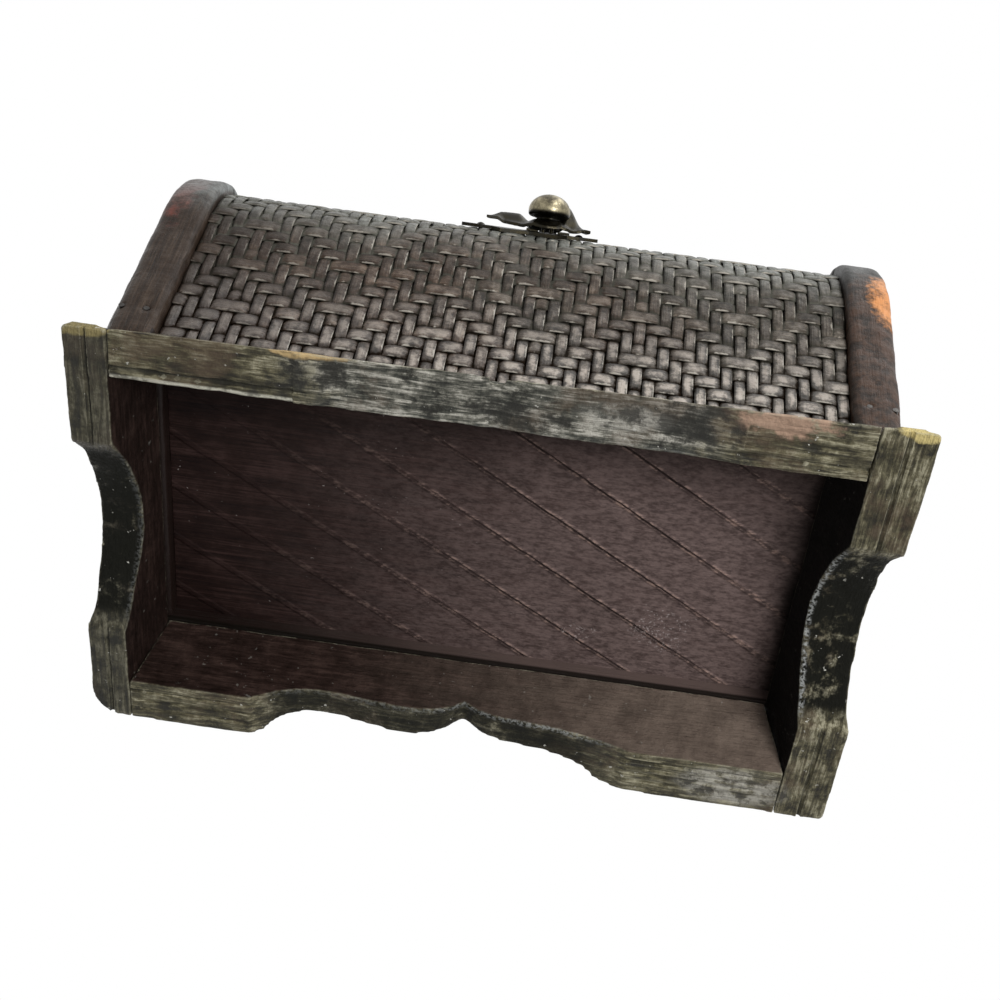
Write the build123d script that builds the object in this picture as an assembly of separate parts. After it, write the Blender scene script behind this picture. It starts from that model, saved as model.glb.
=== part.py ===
from build123d import *
import math
import os

# Barrel-top keepsake chest with a woven cover, on a scalloped skirt.
# Millimetres. +Z is up, -Y is the front with the clasp, X runs along the length.
# The origin is the middle of the footprint, on the surface that the feet rest on.

# Carcase and dome
body_length = 204.6
dome_radius = 50.0
spring_height = 81.5
seam_angle = 41.0
seam_gap = 0.3
weave_thickness = 1.2
wall_thickness = 2.5
end_board_thickness = 13.1
end_plug_thickness = 2.5
rim_proud = 3.4
rim_outer_round = 4.2
rim_inner_round = 2.2
floor_thickness = 3.0
floor_lift = 4.3

# Skirt of four flared boards with bracket feet
skirt_height = 20.0
skirt_lip = 2.0
skirt_ledge = 0.85
front_flare = 16.5
left_end_taper = 2.5
end_flare = 3.2
long_foot_thickness = 14.6
left_foot_thickness = 10.7
right_foot_thickness = 14.0
inner_lean = 6.85
back_left_corner_round = 9.0
corner_round = 1.5
bead_width = 1.2
bead_depth = 0.7
bead_from_mouth = 3.4

# Arches: share of the opening along the board, and height over the floor
long_arch_left_foot = 34.6
long_arch_right_foot = 44.2
long_arch_wave = ((0.08, 3.4), (0.17, 5.0), (0.28, 4.4), (0.40, 3.6), (0.50, 4.7))
long_arch_cusp = (0.56, 7.7)
long_arch_tail = ((0.61, 5.4), (0.67, 4.5), (0.79, 3.8), (0.89, 2.5))
front_arch_share = 0.3
side_arch_front_foot = 38.0
side_arch_back_foot = 36.5
side_arch_wave = ((0.03, 1.0), (0.10, 3.7), (0.21, 6.9), (0.36, 9.8), (0.49, 10.8), (0.64, 9.4), (0.82, 5.2), (0.95, 1.8))

# Scored lines across the underside of the floor
score_angle = 33.0
score_pitch = 28.8
score_shift = 1.5
score_width = 0.5
score_depth = 0.3

# Hinges at the back
hinge_from_end = 47.3
hinge_width = 20.0
leaf_thickness = 1.0
leaf_start = 8.0
leaf_span = 11.0
knuckle_radius = 1.7
hinge_pin_radius = 0.75
hinge_running_gap = 0.05
knuckle_share = 0.37
knuckle_gap = 0.3
rim_swing_gap = 0.5

# Clasp at the front
clasp_plate_centre = -0.5
clasp_centre = 4.5
clasp_angle = 32.0
clasp_plate_width = 40.0
clasp_plate_height = 12.0
clasp_sheet = 1.0
lid_plate_angle = 53.0
lid_plate_width = 26.0
lid_plate_height = 9.0
hasp_axis_height = 2.0
hasp_width = 36.0
hasp_length = 19.5
hasp_lift = 9.0
hasp_knuckle_radius = 1.3
hasp_pin_radius = 0.6
hasp_pin_half = 7.0
hasp_knuckle_half = 2.6
slot_width = 4.2
slot_start = 7.0
slot_end = 13.4
staple_wire = 0.6
staple_spread = 1.2
staple_height = 3.2
staple_place = 2.0
knob_radius = 5.3
knob_from_axis = 15.6
knob_stem_radius = 1.6
knob_collar_radius = 3.4
knob_collar_height = 1.4

# Nails
nail_head_radius = 1.2
nail_head_height = 0.6
nail_shank_radius = 0.6
nail_bite = 2.4
rim_nail_radius = 0.8
rim_nail_length = 6.0
rim_nail_sunk = 0.4
rim_nail_low = 12.0
rim_nail_high = 61.5

# Sizes that follow from the ones above
half_body = body_length / 2
wall_end = half_body - end_board_thickness
plug_end = wall_end - end_plug_thickness
rim_radius = dome_radius + rim_proud
shell_radius = dome_radius - weave_thickness
inner_radius = shell_radius - wall_thickness
seam_height = spring_height + dome_radius * math.sin(math.radians(seam_angle))
lid_bottom = seam_height + seam_gap
top_height = spring_height + rim_radius
skirt_half_x = half_body + end_flare
skirt_top_y = rim_radius + skirt_ledge
skirt_half_y = skirt_top_y + front_flare
mouth_left = left_foot_thickness - skirt_half_x
mouth_right = skirt_half_x - right_foot_thickness
mouth_middle = (mouth_left + mouth_right) / 2
mouth_y = skirt_half_y - left_end_taper - long_foot_thickness
hinge_place = half_body - hinge_from_end
rim_nails = ((0.33, rim_nail_low), (0.83, rim_nail_low), (0.60, rim_nail_high))
floor_height = skirt_height + floor_lift
cove_height = skirt_height - skirt_lip
far = 2 * (skirt_half_x + top_height)


def slab(x0, x1, y0, y1, z0, z1):
    """A block between two corners."""
    size = Box(x1 - x0, y1 - y0, z1 - z0)
    return Pos((x0 + x1) / 2, (y0 + y1) / 2, (z0 + z1) / 2) * size


def dome_prism(radius, x0, x1, bottom=skirt_height):
    """A straight-sided, round-topped bar along X."""
    walls = Pos(0, (bottom + spring_height) / 2) * Rectangle(2 * radius, spring_height - bottom)
    section = walls + Pos(0, spring_height) * Circle(radius)
    return Pos(x0, 0, 0) * extrude(Plane.YZ * section, amount=x1 - x0)


def below_seam(solid):
    return solid & slab(-far, far, -far, far, -far, seam_height)


def above_seam(solid):
    return solid & slab(-far, far, -far, far, lid_bottom, far)


def radial(angle, radius, side):
    """A point at an angle over the spring line; side is -1 in front, 1 behind."""
    turn = math.radians(angle)
    return (side * radius * math.cos(turn), spring_height + radius * math.sin(turn))


def cylinder_x(x0, x1, y, z, radius):
    return Pos((x0 + x1) / 2, y, z) * Rot(0, 90, 0) * Cylinder(radius, x1 - x0)


def prism_x(outline, x0, x1):
    """A bar along X whose section is a list of (y, z) corners."""
    return Pos(x0, 0, 0) * extrude(Plane.YZ * make_face(Polyline(*outline, close=True)), amount=x1 - x0)


def surface_frame(angle, x, radius=dome_radius):
    """On the front of the dome: local X along the length, Y up the dome, Z outwards."""
    y, z = radial(angle, radius, -1)
    turn = math.radians(angle)
    outward = (0, -math.cos(turn), math.sin(turn))
    return Plane(origin=(x, y, z), x_dir=(1, 0, 0), z_dir=outward)


def nail(frame, sheet=leaf_thickness):
    """A domed nail driven through a sheet; the frame lies on the dome."""
    shank = Pos(0, 0, (sheet - nail_bite) / 2) * Cylinder(nail_shank_radius, sheet + nail_bite)
    cap_radius = (nail_head_radius ** 2 + nail_head_height ** 2) / (2 * nail_head_height)
    ball = Pos(0, 0, sheet + nail_head_height - cap_radius) * Sphere(cap_radius)
    head = ball & Pos(0, 0, sheet + nail_head_height / 2) * Cylinder(nail_head_radius, nail_head_height)
    return frame * (shank + head), frame * shank


# Skirt
def flared_bar(half_width, flare):
    section = Pos(0, skirt_height / 2) * Rectangle(2 * half_width, skirt_height)
    for side in (-1, 1):
        section -= Pos(side * half_width, skirt_height) * Ellipse(flare, cove_height)
    return section


def trapezoid(half_mouth):
    narrow = half_mouth - inner_lean
    corners = ((-half_mouth, 0), (half_mouth, 0), (narrow, skirt_height), (-narrow, skirt_height))
    return make_face(Polyline(*corners, close=True))


def along_x(section, half):
    return Pos(-half, 0, 0) * extrude(Plane.YZ * section, amount=2 * half)


def along_y(section, half):
    return Pos(0, half, 0) * extrude(Plane.XZ * section, amount=2 * half)


def plan_prism():
    narrow = skirt_half_y - left_end_taper
    corners = ((-skirt_half_x, -narrow), (skirt_half_x, -skirt_half_y), (skirt_half_x, skirt_half_y),
               (-skirt_half_x, narrow))
    plan = make_face(Polyline(*corners, close=True))
    others = [v for v in plan.vertices() if v.X > 0 or v.Y < 0]
    plan = fillet(others, corner_round)
    round_corner = plan.vertices().sort_by(lambda v: v.X - v.Y)[0]
    plan = fillet([round_corner], back_left_corner_round)
    return extrude(plan, amount=skirt_height)


def arch_face(start, end, parts, share=1.0):
    """The space under an arch, from a row of smooth waves that meet in cusps."""
    width = end - start
    lines = []
    last = (start, 0.0)
    for wave in parts:
        points = [last] + [(start + u * width, h * share) for u, h in wave]
        lines.append(Spline(*points))
        last = points[-1]
    lines.append(Line(last, (last[0], -skirt_lip)))
    lines.append(Line((last[0], -skirt_lip), (start, -skirt_lip)))
    lines.append(Line((start, -skirt_lip), (start, 0.0)))
    return make_face(Wire(lines))


def bead_cutters():
    """Shallow grooves along the resting faces, beside the mouth."""
    half = bead_width / 2
    cuts = []
    for side in (-1, 1):
        y = side * (mouth_y + bead_from_mouth)
        cuts.append(slab(mouth_left, mouth_right, y - half, y + half, -1, bead_depth))
    for x in (mouth_left - left_foot_thickness / 2, mouth_right + right_foot_thickness / 2):
        cuts.append(slab(x - half, x + half, -skirt_half_y, skirt_half_y, -1, bead_depth))
    return cuts


flare_yz = along_x(flared_bar(skirt_half_y, front_flare), skirt_half_x)
flare_xz = along_y(flared_bar(skirt_half_x, end_flare), skirt_half_y)
between_sides = Pos(mouth_middle, 0, 0) * along_y(trapezoid((mouth_right - mouth_left) / 2), far)
cavity = along_x(trapezoid(mouth_y), far) & between_sides
ring = (flare_yz & flare_xz & plan_prism()) - cavity
for cutter in bead_cutters():
    ring -= cutter

long_parts = (long_arch_wave + (long_arch_cusp,), long_arch_tail + ((1.0, 0.0),))
arch_start = mouth_left + long_arch_left_foot
arch_end = mouth_right - long_arch_right_foot
back_arch = arch_face(arch_start, arch_end, long_parts)
# The front board is the same template turned round, cut shallower.
front_arch = mirror(arch_face(arch_start, arch_end, long_parts, front_arch_share), about=Plane.YZ)
side_arch = arch_face(
    side_arch_front_foot - skirt_half_y,
    skirt_half_y - side_arch_back_foot,
    (side_arch_wave + ((1.0, 0.0),),),
)

long_boards = ring & between_sides
skirt_back = (long_boards & slab(-far, far, 0, far, -1, far)) - along_y(back_arch, far)
skirt_front = (long_boards & slab(-far, far, -far, 0, -1, far)) - along_y(front_arch, far)
side_boards = (ring - between_sides) - along_x(side_arch, far)
skirt_left = side_boards & slab(-far, 0, -far, far, -1, far)
skirt_right = side_boards & slab(0, far, -far, far, -1, far)

# End boards: a D-shaped board with a rim that stands proud of the cover, and a plug
# that fills the end of the bent walls
end_board = dome_prism(rim_radius, wall_end, half_body)
outer_edges = [
    e for e in end_board.edges()
    if e.bounding_box().min.X > half_body - 0.01 and e.bounding_box().max.Z > skirt_height + 0.01
]
end_board = fillet(outer_edges, rim_outer_round)
inner_edges = [
    e for e in end_board.edges()
    if e.bounding_box().max.X < wall_end + 0.01 and e.bounding_box().max.Z > skirt_height + 0.01
]
end_board = fillet(inner_edges, rim_inner_round)
end_board += dome_prism(inner_radius, plug_end, wall_end)
end_boards = {"right": end_board, "left": mirror(end_board, about=Plane.YZ)}

# Bent walls, floor and woven cover
shell = dome_prism(shell_radius, -wall_end, wall_end) - dome_prism(inner_radius, -far, far, -far)
cover = dome_prism(dome_radius, -wall_end, wall_end) - dome_prism(shell_radius, -far, far, -far)
front_half = slab(-far, far, -far, 0, -far, far)
back_half = slab(-far, far, 0, far, -far, far)
front_wall = below_seam(shell) & front_half
back_wall = below_seam(shell) & back_half
lid_shell = above_seam(shell)
front_weave = below_seam(cover) & front_half
back_weave = below_seam(cover) & back_half
lid_weave = above_seam(cover)

floor_panel = slab(-plug_end, plug_end, -inner_radius, inner_radius, floor_height, floor_height + floor_thickness)
score_reach = inner_radius / math.tan(math.radians(score_angle)) + plug_end
score_count = int(score_reach // score_pitch)
score_length = 3 * inner_radius / math.sin(math.radians(score_angle))
for step in range(-score_count, score_count + 1):
    line = Pos(score_shift + step * score_pitch, 0, floor_height) * Rot(0, 0, score_angle)
    floor_panel -= line * Box(score_length, score_width, 2 * score_depth)

# Hinges
pivot_y = math.sqrt(rim_radius ** 2 - (lid_bottom - spring_height) ** 2) + rim_swing_gap
pivot_z = seam_height + seam_gap / 2
bore_radius = hinge_pin_radius + hinge_running_gap


def hinge_leaf(centre, upper):
    """A cranked leaf on the back of the dome, with its knuckle round the pin."""
    sign = 1 if upper else -1
    near = seam_angle + sign * leaf_start
    end = near + sign * leaf_span
    x0 = centre - hinge_width / 2
    x1 = centre + hinge_width / 2
    outer = dome_prism(dome_radius + leaf_thickness, x0, x1) - dome_prism(dome_radius, x0 - 1, x1 + 1)
    reach = 2 * dome_radius
    wedge = prism_x(((0, spring_height), radial(near, reach, 1), radial(end, reach, 1)), x0 - 1, x1 + 1)
    plate = outer & wedge
    foot = near + sign * 1.2
    arm_x = pivot_y - radial(near, dome_radius, 1)[0]
    arm_z = pivot_z - radial(near, dome_radius, 1)[1]
    arm = math.hypot(arm_x, arm_z)
    across = (-arm_z / arm * leaf_thickness / 2, arm_x / arm * leaf_thickness / 2)
    link_corners = (
        radial(foot, dome_radius, 1),
        radial(foot, dome_radius + leaf_thickness, 1),
        (pivot_y + sign * across[0], pivot_z + sign * across[1]),
        (pivot_y - sign * across[0], pivot_z - sign * across[1]),
    )
    link = prism_x(link_corners, x0, x1)
    knuckle = cylinder_x(x0, x1, pivot_y, pivot_z, knuckle_radius)
    middle = hinge_width * knuckle_share / 2
    clear = knuckle_radius + knuckle_gap
    leaf = plate + link + knuckle
    if upper:
        for low, high in ((x0 - 1, centre - middle), (centre + middle, x1 + 1)):
            leaf -= cylinder_x(low, high, pivot_y, pivot_z, clear)
    else:
        leaf -= cylinder_x(centre - middle - knuckle_gap, centre + middle + knuckle_gap, pivot_y, pivot_z, clear)
    return leaf - cylinder_x(x0 - 1, x1 + 1, pivot_y, pivot_z, bore_radius)


def back_frame(angle, x):
    y, z = radial(angle, dome_radius, 1)
    turn = math.radians(angle)
    return Plane(origin=(x, y, z), x_dir=(1, 0, 0), z_dir=(0, math.cos(turn), math.sin(turn)))


hinge_parts = {}
hinge_nails = {"body": [], "lid": []}
hinge_holes = {"body": [], "lid": []}
for name, centre in (("left", -hinge_place), ("right", hinge_place)):
    hinge_parts[name] = {"body": hinge_leaf(centre, False), "lid": hinge_leaf(centre, True)}
    pin_half = hinge_width / 2 + 0.4
    hinge_parts[name]["pin"] = cylinder_x(centre - pin_half, centre + pin_half, pivot_y, pivot_z, hinge_pin_radius)
    for owner, sign in (("body", -1), ("lid", 1)):
        for side in (-1, 1):
            angle = seam_angle + sign * (leaf_start + leaf_span * 0.62)
            solid, hole = nail(back_frame(angle, centre + side * hinge_width * 0.3))
            hinge_parts[name][owner] -= hole
            hinge_nails[owner].append(solid)
            hinge_holes[owner].append(hole)

# Clasp
def bat_outline(width, height):
    """A plate with pointed ends and a waisted edge."""
    half = width / 2
    tall = height / 2
    corners = (
        (-half, 0), (-half * 0.72, tall * 0.45), (-half * 0.55, tall * 0.5), (-half * 0.42, tall),
        (0, tall * 0.86), (half * 0.42, tall), (half * 0.55, tall * 0.5), (half * 0.72, tall * 0.45),
        (half, 0), (half * 0.72, -tall * 0.45), (half * 0.55, -tall * 0.5), (half * 0.42, -tall),
        (0, -tall * 0.86), (-half * 0.42, -tall), (-half * 0.55, -tall * 0.5), (-half * 0.72, -tall * 0.45),
    )
    return make_face(Polyline(*corners, close=True))


def bent_plate(outline, angle, centre, height):
    """A thin plate that lies round the front of the dome."""
    frame = surface_frame(angle, centre)
    block = Pos(0, 0, -height) * extrude(outline, amount=2 * height)
    skin = dome_prism(dome_radius + clasp_sheet, -far, far) - dome_prism(dome_radius, -2 * far, 2 * far)
    return (frame * block) & skin


body_plate = bent_plate(bat_outline(clasp_plate_width, clasp_plate_height), clasp_angle, clasp_plate_centre,
                        clasp_plate_height / 2)
lid_plate = bent_plate(bat_outline(lid_plate_width, lid_plate_height), lid_plate_angle, clasp_centre,
                       lid_plate_height / 2)

# The hasp's pin lies just over the seam, clear of the dome.
hasp_angle = seam_angle + math.degrees((hasp_axis_height + hasp_knuckle_radius) / dome_radius)
hasp_axis_radius = dome_radius + hasp_knuckle_radius + 0.4
hasp_y, hasp_z = radial(hasp_angle, hasp_axis_radius, -1)
hasp_bore = hasp_pin_radius + hinge_running_gap

hasp_turn = math.radians(clasp_angle + hasp_lift)
# Local frame of the hasp: X along the length, Y down the plate, Z outwards
hasp_frame = Plane(
    origin=(clasp_centre, hasp_y, hasp_z),
    x_dir=(-1, 0, 0),
    z_dir=(0, -math.cos(hasp_turn), math.sin(hasp_turn)),
)


def hasp_outline():
    half = hasp_width / 2
    reach = hasp_length
    neck = hasp_knuckle_half
    corners = (
        (neck, 0), (neck, reach * 0.17), (half * 0.36, reach * 0.24), (half * 0.5, reach * 0.49),
        (half * 0.78, reach * 0.56), (half, reach * 0.76), (half * 0.7, reach * 0.74),
        (half * 0.48, reach * 0.79), (half * 0.3, reach * 0.94), (0, reach),
    )
    corners += tuple((-x, y) for x, y in reversed(corners[:-1]))
    return make_face(Polyline(*corners, close=True))


def on_hasp(solid):
    return hasp_frame * solid


hasp_low = hasp_knuckle_radius - clasp_sheet
hasp_plate = Pos(0, 0, hasp_low) * extrude(hasp_outline(), amount=clasp_sheet)
slot = Pos(0, (slot_start + slot_end) / 2, 0) * Box(slot_width, slot_end - slot_start, far)
hasp_plate -= slot
hasp_plate = on_hasp(hasp_plate)
hasp_barrel = cylinder_x(clasp_centre - hasp_knuckle_half, clasp_centre + hasp_knuckle_half, hasp_y, hasp_z,
                         hasp_knuckle_radius)
hasp_hole = cylinder_x(-far, far, hasp_y, hasp_z, hasp_bore)
clasp_hasp = hasp_plate + hasp_barrel - hasp_hole

# The knob's stem is riveted through the hasp.
stem_hole = Pos(0, knob_from_axis, hasp_low + clasp_sheet / 2) * Cylinder(knob_stem_radius, clasp_sheet * 3)
clasp_hasp -= on_hasp(stem_hole)
face = hasp_low + clasp_sheet
stem = Pos(0, knob_from_axis, face - clasp_sheet / 2) * Cylinder(knob_stem_radius, clasp_sheet)
collar = Pos(0, knob_from_axis, face + knob_collar_height / 2) * Cylinder(knob_collar_radius, knob_collar_height)
ball = Sphere(knob_radius) & Pos(0, 0, knob_radius) * Box(3 * knob_radius, 3 * knob_radius, 2.6 * knob_radius)
ball = Pos(0, knob_from_axis, face + knob_collar_height + 0.3 * knob_radius) * ball
clasp_knob = on_hasp(stem + collar + ball)

# Two ears of the lid plate hold the hasp's pin.
lid_edge = radial(lid_plate_angle - math.degrees(lid_plate_height * 0.3 / dome_radius), dome_radius, -1)
lid_edge_out = radial(lid_plate_angle - math.degrees(lid_plate_height * 0.3 / dome_radius),
                      dome_radius + clasp_sheet, -1)
ear_low = radial(hasp_angle, hasp_axis_radius - hasp_knuckle_radius * 0.7, -1)
ear_high = radial(hasp_angle, hasp_axis_radius + hasp_knuckle_radius * 0.7, -1)
for side in (-1, 1):
    inner = clasp_centre + side * (hasp_knuckle_half + knuckle_gap)
    outer = clasp_centre + side * hasp_pin_half * 0.92
    x0 = min(inner, outer)
    x1 = max(inner, outer)
    ear = prism_x((lid_edge, lid_edge_out, ear_high, ear_low), x0, x1)
    ear += cylinder_x(x0, x1, hasp_y, hasp_z, hasp_knuckle_radius)
    lid_plate += ear
lid_plate -= hasp_hole
clasp_pin = cylinder_x(clasp_centre - hasp_pin_half, clasp_centre + hasp_pin_half, hasp_y, hasp_z, hasp_pin_radius)

# The staple on the body plate stands in the hasp's slot.
staple_frame = surface_frame(clasp_angle, clasp_centre)
leg_height = clasp_sheet + staple_height
bow = Rot(90, 0, 0) * Torus(staple_spread, staple_wire)
bow = Pos(0, staple_place, leg_height - staple_spread - staple_wire) * bow
half_bow = bow & Pos(0, staple_place, leg_height) * Box(far, far, 2 * (staple_spread + staple_wire))
clasp_staple = half_bow
staple_holes = []
for side in (-1, 1):
    top = leg_height - staple_spread - staple_wire
    leg = Pos(side * staple_spread, staple_place, (top - nail_bite) / 2) * Cylinder(staple_wire, top + nail_bite)
    clasp_staple += leg
    staple_holes.append(staple_frame * leg)
clasp_staple = staple_frame * clasp_staple

body_nails = []
lid_nails = []
body_holes = list(staple_holes)
lid_holes = []
for side in (-1, 1):
    spot = surface_frame(clasp_angle, clasp_plate_centre + side * clasp_plate_width * 0.36)
    solid, hole = nail(spot, clasp_sheet)
    body_nails.append(solid)
    body_holes.append(hole)
    spot = surface_frame(lid_plate_angle, clasp_centre + side * lid_plate_width * 0.34)
    solid, hole = nail(spot, clasp_sheet)
    lid_nails.append(solid)
    lid_holes.append(hole)

for hole in body_holes:
    body_plate -= hole
    front_weave -= hole
    front_wall -= hole
for hole in lid_holes:
    lid_plate -= hole
for hole in lid_holes + hinge_holes["lid"]:
    lid_weave -= hole
    lid_shell -= hole
for hole in hinge_holes["body"]:
    back_weave -= hole
    back_wall -= hole

# Sunk nails through the rims of the end boards, three in front and three behind
rim_nail_parts = {"left": [], "right": []}
for name, side in (("left", -1), ("right", 1)):
    for share, rise in rim_nails:
        for front in (-1, 1):
            x = side * (wall_end + share * end_board_thickness)
            y = front * (rim_radius - rim_nail_sunk - rim_nail_length / 2)
            hole_y = front * (rim_radius - rim_nail_length / 2)
            z = skirt_height + rise
            rim_nail_parts[name].append(Pos(x, y, z) * Rot(90, 0, 0) * Cylinder(rim_nail_radius, rim_nail_length))
            drill = Pos(x, hole_y, z) * Rot(90, 0, 0) * Cylinder(rim_nail_radius, rim_nail_length + 2 * rim_nail_sunk)
            end_boards[name] -= drill

nodes = {
    "skirt_front": skirt_front,
    "skirt_back": skirt_back,
    "skirt_left": skirt_left,
    "skirt_right": skirt_right,
    "floor_panel": floor_panel,
    "front_wall": front_wall,
    "back_wall": back_wall,
    "front_weave": front_weave,
    "back_weave": back_weave,
    "end_board_left": below_seam(end_boards["left"]),
    "end_board_right": below_seam(end_boards["right"]),
    "lid_end_left": above_seam(end_boards["left"]),
    "lid_end_right": above_seam(end_boards["right"]),
    "lid_shell": lid_shell,
    "lid_weave": lid_weave,
    "rim_nails_left": Compound(rim_nail_parts["left"]),
    "rim_nails_right": Compound(rim_nail_parts["right"]),
    "hinge_left_body_leaf": hinge_parts["left"]["body"],
    "hinge_left_lid_leaf": hinge_parts["left"]["lid"],
    "hinge_left_pin": hinge_parts["left"]["pin"],
    "hinge_right_body_leaf": hinge_parts["right"]["body"],
    "hinge_right_lid_leaf": hinge_parts["right"]["lid"],
    "hinge_right_pin": hinge_parts["right"]["pin"],
    "hinge_nails_body": Compound(hinge_nails["body"]),
    "hinge_nails_lid": Compound(hinge_nails["lid"]),
    "clasp_body_plate": body_plate,
    "clasp_staple": clasp_staple,
    "clasp_lid_plate": lid_plate,
    "clasp_hasp": clasp_hasp,
    "clasp_pin": clasp_pin,
    "clasp_knob": clasp_knob,
    "clasp_nails_body": Compound(body_nails),
    "clasp_nails_lid": Compound(lid_nails),
}

os.makedirs("parts", exist_ok=True)
for name, solid in nodes.items():
    export_step(solid, f"parts/{name}.step")

print(f"overall {2 * skirt_half_x:.1f} x {2 * skirt_half_y:.1f} x {top_height:.1f}")
print(f"lid pivot y {pivot_y:.3f} z {pivot_z:.3f}; hasp pivot y {hasp_y:.3f} z {hasp_z:.3f}")
print(f"floor top {floor_height + floor_thickness:.2f}, inside half width {inner_radius:.2f}, half length {plug_end:.2f}")
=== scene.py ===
import math
import random
import bmesh
import bpy
from mathutils import Matrix, Vector, noise


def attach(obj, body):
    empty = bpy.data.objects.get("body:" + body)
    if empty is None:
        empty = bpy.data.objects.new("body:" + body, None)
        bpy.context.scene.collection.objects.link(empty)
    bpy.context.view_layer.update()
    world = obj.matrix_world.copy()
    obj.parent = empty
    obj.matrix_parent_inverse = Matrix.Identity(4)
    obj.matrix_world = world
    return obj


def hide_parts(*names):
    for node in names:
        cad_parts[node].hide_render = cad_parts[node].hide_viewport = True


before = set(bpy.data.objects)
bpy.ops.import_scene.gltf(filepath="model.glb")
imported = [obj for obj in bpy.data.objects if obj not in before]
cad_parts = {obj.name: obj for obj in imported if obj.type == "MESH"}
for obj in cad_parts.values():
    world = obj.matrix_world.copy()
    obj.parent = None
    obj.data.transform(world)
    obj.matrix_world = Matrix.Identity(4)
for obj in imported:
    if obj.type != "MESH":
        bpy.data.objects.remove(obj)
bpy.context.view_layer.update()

mm = 0.001

# Sizes of the chest, as the frame has them
half_length = 89.2 * mm
dome_radius = 50.0 * mm
spring_height = 81.5 * mm
skirt_height = 20.0 * mm
seam_height = 114.303 * mm
lid_bottom = 114.603 * mm
floor_underside = 24.3 * mm
mouth_left = -94.8 * mm
mouth_right = 91.5 * mm
mouth_y = 53.65 * mm
left_joint = -100.15 * mm
right_joint = 98.5 * mm
inner_lean = 6.85 * mm
wall_radius = 48.4 * mm

# The feet, counted from the mouth outwards: a bead, the groove behind it, and reeds along the foot.
# A foot's face is what lies lower than foot_face.
bead_crest = 1.1 * mm
bead_line = 3.4 * mm
bead_fall = 0.55 * mm
ridge_width = 0.70 * mm
groove_width = 0.75 * mm
foot_set_back = 0.3 * mm
foot_face = 0.9 * mm
crease_reach = 1.6 * mm
reed_depth = 0.75 * mm
reed_width = 0.62 * mm

# The faces of the evenly meshed copies, and how deep and how broad their wear is
skirt_grain = 0.42 * mm
end_grain = 0.8 * mm
hasp_grain = 0.22 * mm
knob_grain = 0.3 * mm
joint_overlap = 0.3 * mm
skirt_lump = 7.0 * mm
end_lump = 9.0 * mm
end_wear = 0.4 * mm

# The scored lines under the floor, and how far apart they are along the chest
score_turn = math.radians(33.0)
score_spacing = 28.8 * mm
score_offset = 1.5 * mm
score_wander = 1.0 * mm

# The woven cover: upright strips and level strips in a herringbone twill, two over and two under
cover_middle = 49.20 * mm
cover_gap = 0.05 * mm
upright_count = 53
upright_pitch = 2 * half_length / upright_count
upright_width = 2.95 * mm
level_pitch = 5.05 * mm
level_width = 4.65 * mm
strip_thickness = 0.4 * mm
strip_wave = 0.52 * mm
strip_crown = 0.16 * mm
strip_flatness = 1.9
strip_tilt = 0.10 * mm
strip_drift = 0.16 * mm
strip_lump = 0.07 * mm
turn_every = 8
first_turn = 4

# The hasp's own directions: along the chest from its pin, down the plate and out of it
hasp_axis = Vector((4.5 * mm, -36.697 * mm, 117.918 * mm))
hasp_slope = math.radians(41.0)
hasp_down = Vector((0.0, -math.sin(hasp_slope), -math.cos(hasp_slope)))
hasp_out = Vector((0.0, -math.cos(hasp_slope), math.sin(hasp_slope)))
knob_down = 15.6 * mm
knob_base = 2.2 * mm
knob_swell = 1.15
knob_rise = 0.94
boss_height = 1.1 * mm
wing_lift = 2.2 * mm
fold_height = 6.0 * mm
wing_droop = 0.8 * mm
front_curl = 1.6 * mm
pressed_from = 10.0 * mm
pressed_share = 0.67

# Marks on the wood: a place, its half sizes, and how ragged or what colour each is
near_grey_mark = ((0.004, -0.062, 0.002), (0.054, 0.03, 0.03), 0.25)
near_colour_marks = (
    ((-0.046, -0.0695, 0.0), (0.011, 0.002, 0.004), (0.46, 0.33, 0.16)),
    ((0.068, -0.0680, 0.0), (0.011, 0.004, 0.004), (0.36, 0.24, 0.17)),
)
near_dark_marks = (
    ((0.047, -0.063, 0.0), (0.013, 0.007, 0.02)),
    ((-0.043, -0.063, 0.0), (0.007, 0.005, 0.02)),
    ((0.005, -0.058, 0.0), (0.012, 0.004, 0.02)),
)
near_pale_mark = ((0.031, -0.062, 0.0), (0.010, 0.0045, 0.02))
far_pale_mark = ((0.078, 0.062, 0.0), (0.016, 0.008, 0.02), 0.3)
near_tips = ((-102.0 * mm, -68.0 * mm, 1.0 * mm), (102.0 * mm, -70.5 * mm, 1.0 * mm))
tip_reach = (0.007, 0.0026, 0.006)
# Two patches of pale flecks under the floor, painted glints: a place and its half sizes.
floor_glint_marks = (
    ((0.052, 0.028, 0.0243), (0.009, 0.009, 0.02)),
    ((0.029, 0.033, 0.0243), (0.006, 0.003, 0.02)),
)
left_rim_mark = ((-0.100, -0.046, 0.100), (0.008, 0.012, 0.030), 0.35)
right_rim_mark = ((0.097, -0.052, 0.055), (0.012, 0.012, 0.040), 0.3)
orange_mark = ((0.1005, -0.0505, 0.083), (0.0055, 0.008, 0.013), 0.5)

chance = random.Random(7)


# Shader tools
def feed(tree, socket, value):
    """Gives a socket a value, or the output that drives it."""
    if isinstance(value, bpy.types.NodeSocket):
        tree.links.new(value, socket)
    else:
        socket.default_value = value


def put(tree, kind, settings=None, **sockets):
    node = tree.nodes.new("ShaderNode" + kind)
    for name, value in (settings or {}).items():
        setattr(node, name, value)
    for name, value in sockets.items():
        feed(tree, node.inputs[name.replace("_", " ")], value)
    return node


def reckon(tree, operation, *values):
    node = put(tree, "Math", {"operation": operation})
    for socket, value in zip(node.inputs, values):
        feed(tree, socket, value)
    return node.outputs[0]


def times(tree, first, second):
    return reckon(tree, "MULTIPLY", first, second)


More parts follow.
